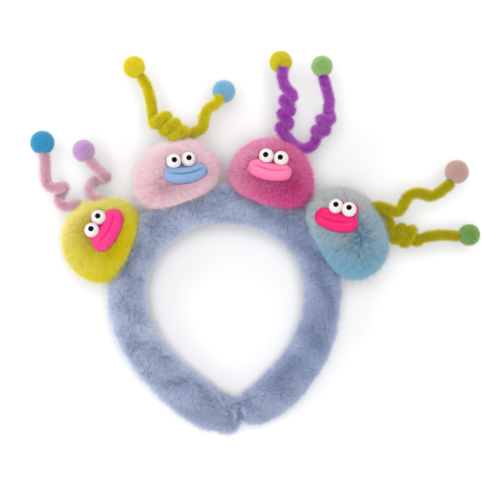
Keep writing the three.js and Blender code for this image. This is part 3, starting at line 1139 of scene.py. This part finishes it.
@dataclass
class Studio:
    """A pale floor, soft light from above and from all sides, and a camera straight above.

    Attributes:
        aim: The point that lamps and camera look at.
        distance: How far above it the camera hangs.
        view_width: How wide a stretch the camera sees there.
        sensor: The width of the camera's sensor, in millimetres.
        nearest: How near the camera still sees.
        floor_size: Half the length of the floor's sides.
        paper: The floor's colour.
        paper_roughness: How dull the floor is.
        sky: How bright the sky is.
        lamps: The lamps.
    """

    aim: tuple[float, float, float] = (0.015, 0.036, 0.02)
    distance: float = 0.7
    view_width: float = 0.3
    sensor: float = 36.0
    nearest: float = 0.01
    floor_size: float = 3.0
    paper: Colour = (0.9, 0.9, 0.9, 1.0)
    paper_roughness: float = 0.9
    sky: float = 0.2
    lamps: tuple[Lamp, ...] = (
        Lamp("panel", (0.0, 0.1, 1.5), 1.2, 18.0),
        Lamp("crown", (0.0, 1.5, 0.6), 1.2, 10.0),
        Lamp("left", (-1.5, 0.0, 0.6), 1.2, 13.0),
        Lamp("right", (1.5, 0.0, 0.6), 1.2, 6.0),
        Lamp("foot", (0.0, -1.5, 0.6), 1.2, 10.0),
    )

    def floor(self) -> None:
        """Lays the floor."""
        form = bmesh.new()
        bmesh.ops.create_grid(form, x_segments=1, y_segments=1, size=self.floor_size)
        mesh = bpy.data.meshes.new("floor")
        form.to_mesh(mesh)
        form.free()
        sockets = {"Base Color": self.paper, "Roughness": self.paper_roughness}
        mesh.materials.append(Paint("floor_paper").surface(sockets))
        floor = bpy.data.objects.new("floor", mesh)
        bpy.context.scene.collection.objects.link(floor)
        floor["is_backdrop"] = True

    def light(self) -> None:
        """Sets the sky and the lamps."""
        world = bpy.data.worlds.new("studio")
        world.use_nodes = True
        sky = world.node_tree.nodes["Background"].inputs
        sky["Color"].default_value = (1.0, 1.0, 1.0, 1.0)
        sky["Strength"].default_value = self.sky
        bpy.context.scene.world = world
        bpy.context.scene.view_settings.view_transform = "Standard"
        for lamp in self.lamps:
            lamp.hang(Vector(self.aim))

    def camera(self) -> None:
        """Hangs the camera over the part."""
        lens = bpy.data.cameras.new("camera")
        lens.sensor_width = self.sensor
        lens.lens = self.sensor * self.distance / self.view_width
        lens.clip_start = self.nearest
        camera = bpy.data.objects.new("camera", lens)
        camera.location = Vector(self.aim) + Vector((0, 0, self.distance))
        bpy.context.scene.collection.objects.link(camera)
        bpy.context.scene.camera = camera

    def build(self) -> None:
        """Sets up the whole studio."""
        self.floor()
        self.light()
        self.camera()


BAND_PILE = Pile(
    count=160_000,
    length=3.2 * MM,
    width=0.28 * MM,
    depth=0.2 * MM,
    nap=0.42,
    comb=(-0.1, -0.25, -0.3),
    swirl=12 * MM,
    stray=0.4,
    uneven=0.3,
    gather=0.4,
    fibres_per_tuft=40,
    rounds=6,
    softness=0.2,
)
POMPOM_PILE = Pile(
    count=90_000,
    length=4.6 * MM,
    width=0.2 * MM,
    depth=1.6 * MM,
    nap=0.25,
    stray=0.35,
    uneven=0.35,
    gather=0.3,
    fibres_per_tuft=50,
    voxel=2.5 * MM,
    rounds=22,
    specks=0.2,
)
CLUMPED_PILE = replace(POMPOM_PILE, nap=0.35, gather=0.5, fibres_per_tuft=90)
STEM_PILE = Pile(
    count=32_000,
    length=2.0 * MM,
    width=0.22 * MM,
    depth=0.6 * MM,
    nap=0.15,
    stray=0.5,
    uneven=0.5,
    specks=0.2,
    gather=0.1,
    voxel=0.0,
    rounds=0,
)
TIP_PILE = Pile(
    count=10_000,
    length=1.4 * MM,
    width=0.18 * MM,
    depth=0.5 * MM,
    nap=0.1,
    stray=0.4,
    uneven=0.35,
    gather=0.0,
    voxel=0.8 * MM,
    rounds=6,
)

BAND_CREASE = Crease(middle=(8.8 * MM, -65.0 * MM), half=(3.8 * MM, 6.4 * MM), deep=10 * MM, left=0.15)
BAND_PLUSH = PlushFinish("8494b8", "afbbd8", "dbe2f2", sheen=0.2)
EYE_VINYL = MouldedFinish("dfdad7", "ccc4c2", roughness=0.45)
PUPIL_PAINT = MouldedFinish("080606", "141010", roughness=0.5, gloss=0.06)


@dataclass(frozen=True)
class Pompom:
    """A pompom with its face, its stem and the balls on the stem's tips.

    Attributes:
        number: Its number, from the left.
        pile: How its fibres stand.
        plush: What they wear.
        faded: How faded it is on the whole.
        fade_and_painted_light_way: How much paler it is at its far end along +X, +Y and +Z: partly
        its own fading, partly painted light falling from that side.
        lips_high: The height of its lips.
        lips: What the lips wear.
        chenille: What the stem wears.
        felts: What the balls on the left and right tips wear.
    """

    number: int
    pile: Pile
    plush: PlushFinish
    faded: float
    fade_and_painted_light_way: tuple[float, float, float]
    lips_high: float
    lips: MouldedFinish
    chenille: PlushFinish
    felts: tuple[PlushFinish, PlushFinish]

    SEED: ClassVar[int] = 10
    STEM_SEED: ClassVar[int] = 20
    TIP_SEED: ClassVar[int] = 34

    def build_head(self, frame: Frame) -> None:
        """Builds the pompom itself.

        Args:
            frame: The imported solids.
        """
        node = f"pompom_{self.number}"
        head = Plush(
            node,
            f"{node}_plush",
            self.pile,
            self.plush,
            seed=self.SEED + self.number,
            faded=self.faded,
            fade_and_painted_light_way=self.fade_and_painted_light_way,
        ).build(frame)

    def build_feelers(self, frame: Frame) -> None:
        """Builds the stem and the balls on its tips.

        Args:
            frame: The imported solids.
        """
        node = f"feeler_{self.number}"
        seed = self.STEM_SEED + self.number
        Plush(node, f"{node}_chenille", STEM_PILE, self.chenille, seed).build(frame)
        for at, (side, felt) in enumerate(zip(Side, self.felts)):
            node = f"tip_{self.number}_{side.value}"
            seed = self.TIP_SEED + 2 * self.number + at
            Plush(node, f"{node}_felt", TIP_PILE, felt, seed).build(frame)

    def build(self, frame: Frame) -> None:
        """Builds the pompom and all that is on it.

        Args:
            frame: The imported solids.
        """
        self.build_head(frame)
        Face(self.number, self.lips_high, self.lips, EYE_VINYL, PUPIL_PAINT).build(frame)
        self.build_feelers(frame)


# Each pompom's way of fading pales it towards one side: partly its own fading, partly painted light
# falling from that side.
POMPOMS = (
    Pompom(
        number=1,
        pile=POMPOM_PILE,
        plush=PlushFinish("ccba04", "e6d608", "f4eca0", sheen=0.1),
        faded=0.34,
        fade_and_painted_light_way=(-0.5, 0.55, 0.0),
        lips_high=12.4 * MM,
        lips=MouldedFinish("e93582", "d02466"),
        chenille=PlushFinish("ca88a4", "f0c2d4", "f8e0ea"),
        felts=(
            PlushFinish("34a0d0", "3ea8d6", "70bcdc"),
            PlushFinish("cc98d2", "d8b0dc", "e4c8e4"),
        ),
    ),
    Pompom(
        number=2,
        pile=POMPOM_PILE,
        plush=PlushFinish("da94ae", "eebccb", "fcf0f3", sheen=0.2),
        faded=0.52,
        fade_and_painted_light_way=(-0.15, 0.1, 0.0),
        lips_high=10.0 * MM,
        lips=MouldedFinish("869ec8", "34829c"),
        chenille=PlushFinish("c0b004", "e6d70e", "eee23c"),
        felts=(
            PlushFinish("e0cf0e", "ecdb1c", "f2e65a"),
            PlushFinish("76b6d6", "84c0dc", "a6d2e6"),
        ),
    ),
    Pompom(
        number=3,
        pile=POMPOM_PILE,
        plush=PlushFinish("c01c76", "dc3c94", "f8bcd8", sheen=0.1),
        faded=0.42,
        fade_and_painted_light_way=(-0.42, 0.25, 0.0),
        lips_high=10.6 * MM,
        lips=MouldedFinish("e877a1", "d05a88"),
        chenille=PlushFinish("8c20a0", "be46c6", "d288da"),
        felts=(
            PlushFinish("d2c30c", "e0d11c", "e8dd5a"),
            PlushFinish("92c064", "a2c97e", "bcd8a0"),
        ),
    ),
    Pompom(
        number=4,
        pile=CLUMPED_PILE,
        plush=PlushFinish("4286ae", "76b4d2", "d8cec0", sheen=0.1),
        faded=0.46,
        fade_and_painted_light_way=(0.05, 0.55, 0.0),
        lips_high=11.6 * MM,
        lips=MouldedFinish("df1d69", "c4145a"),
        chenille=PlushFinish("9c8f02", "c8ba06", "d4c82c"),
        felts=(
            PlushFinish("c8a098", "d2b2aa", "e0c8c2"),
            PlushFinish("74a648", "82ae5e", "a0c284"),
        ),
    ),
)


def main() -> None:
    """Builds the headband piece by piece, then the studio round it."""
    logging.basicConfig(level=logging.INFO, format="%(name)s: %(message)s")
    frame = Frame()
    band = Plush(
        "band",
        "band_plush",
        BAND_PILE,
        BAND_PLUSH,
        seed=1,
        # painted light: the band is paler at its left end, where the light falls from
        fade_and_painted_light_way=(-0.45, 0.05, 0.0),
        crease=BAND_CREASE,
    ).build(frame)
    for pompom in POMPOMS:
        pompom.build(frame)
    Studio().build()


if __name__ == "__main__":
    main()
